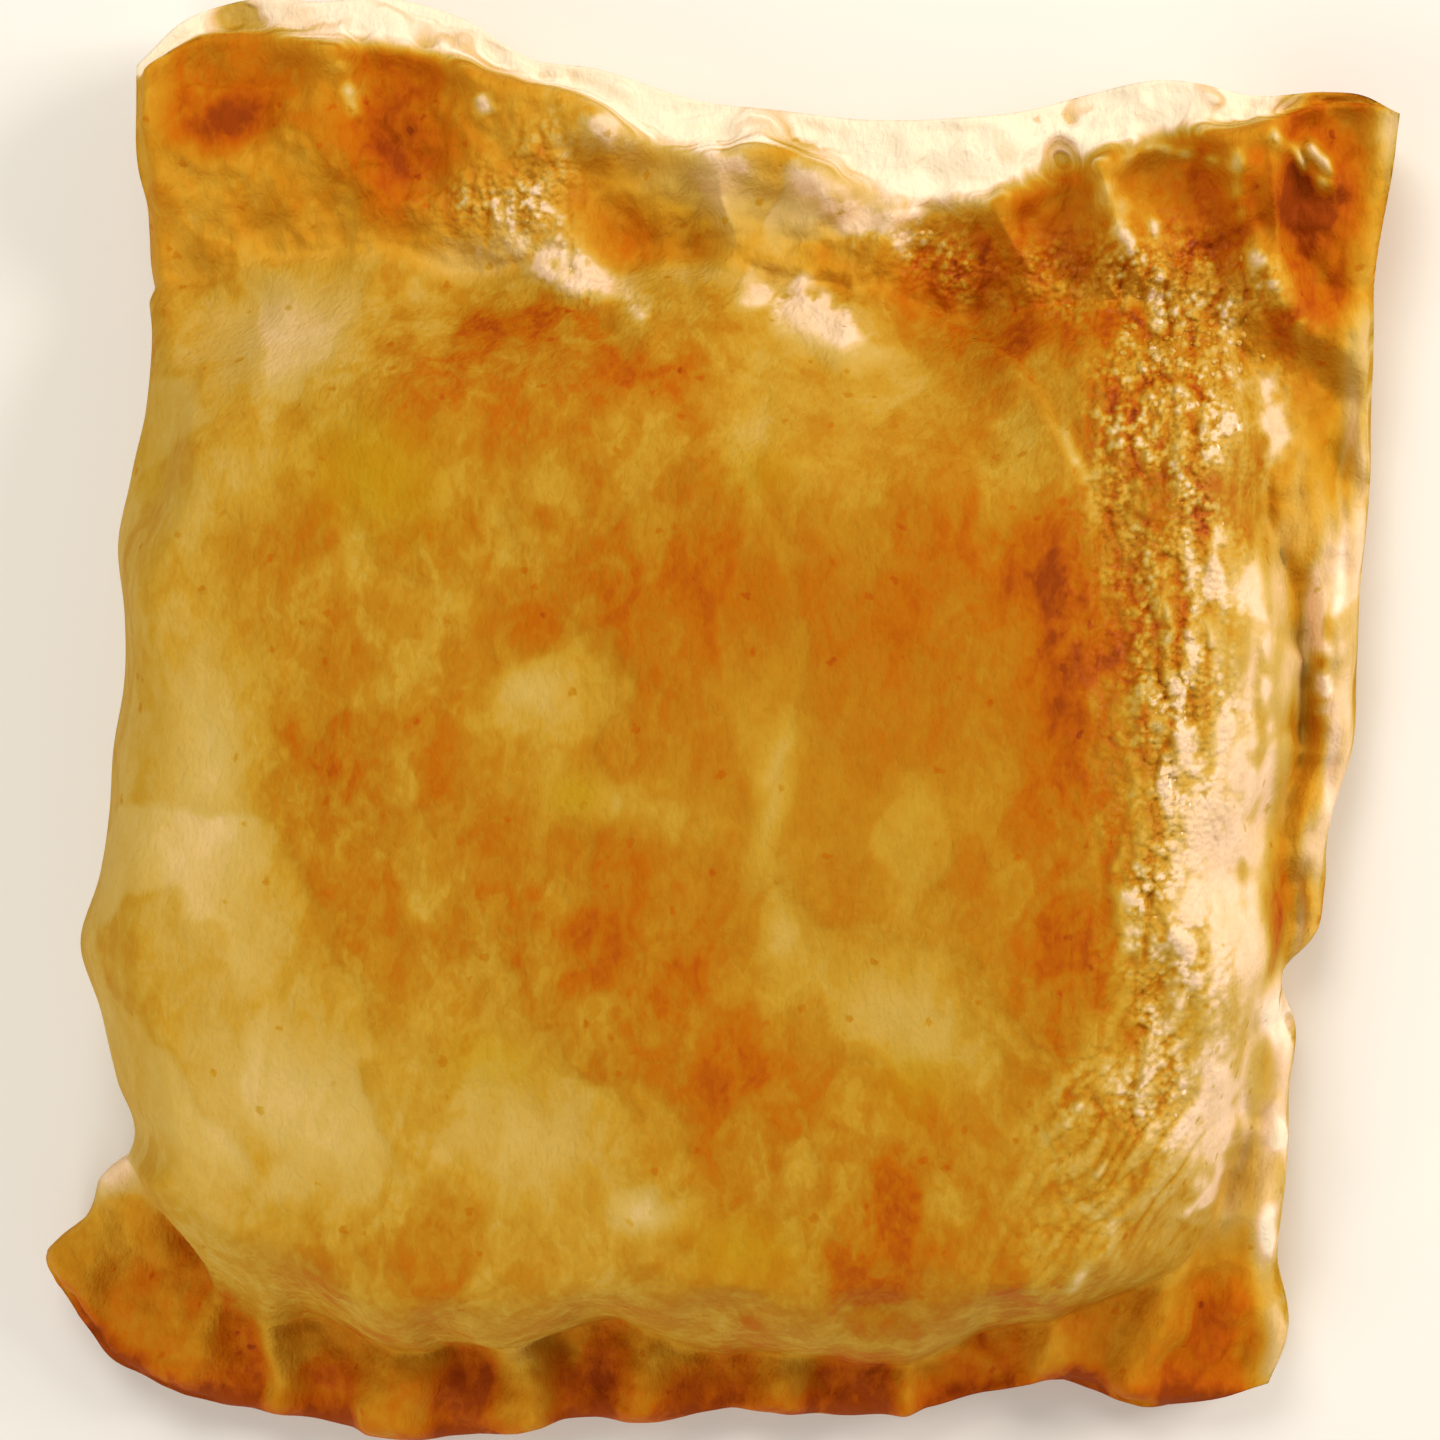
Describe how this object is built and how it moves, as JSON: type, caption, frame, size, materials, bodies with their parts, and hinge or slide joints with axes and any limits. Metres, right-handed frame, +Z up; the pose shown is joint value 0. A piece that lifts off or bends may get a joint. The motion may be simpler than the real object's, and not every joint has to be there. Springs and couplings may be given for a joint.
{
  "type": "steak pie",
  "caption": "Squarish hand-held steak pie in golden puff pastry, folded along the left side and crimped along the rest, lying on its flat base.",
  "frame": {"origin": "middle of the pie's box on the flat base it lies on", "axes": "+Z up through the browned face, +Y towards the wide crimped side at the picture's top, +X towards the right crimped side, opposite the fold"},
  "size_m": [0.1234, 0.1398, 0.0293],
  "materials": {
    "baked_crust": "golden brown puff pastry with an egg glaze, paler at the folded side and darker in the crimps"
  },
  "bodies": {
    "root": {"steak_pie": "baked_crust"}
  },
  "joints": []
}
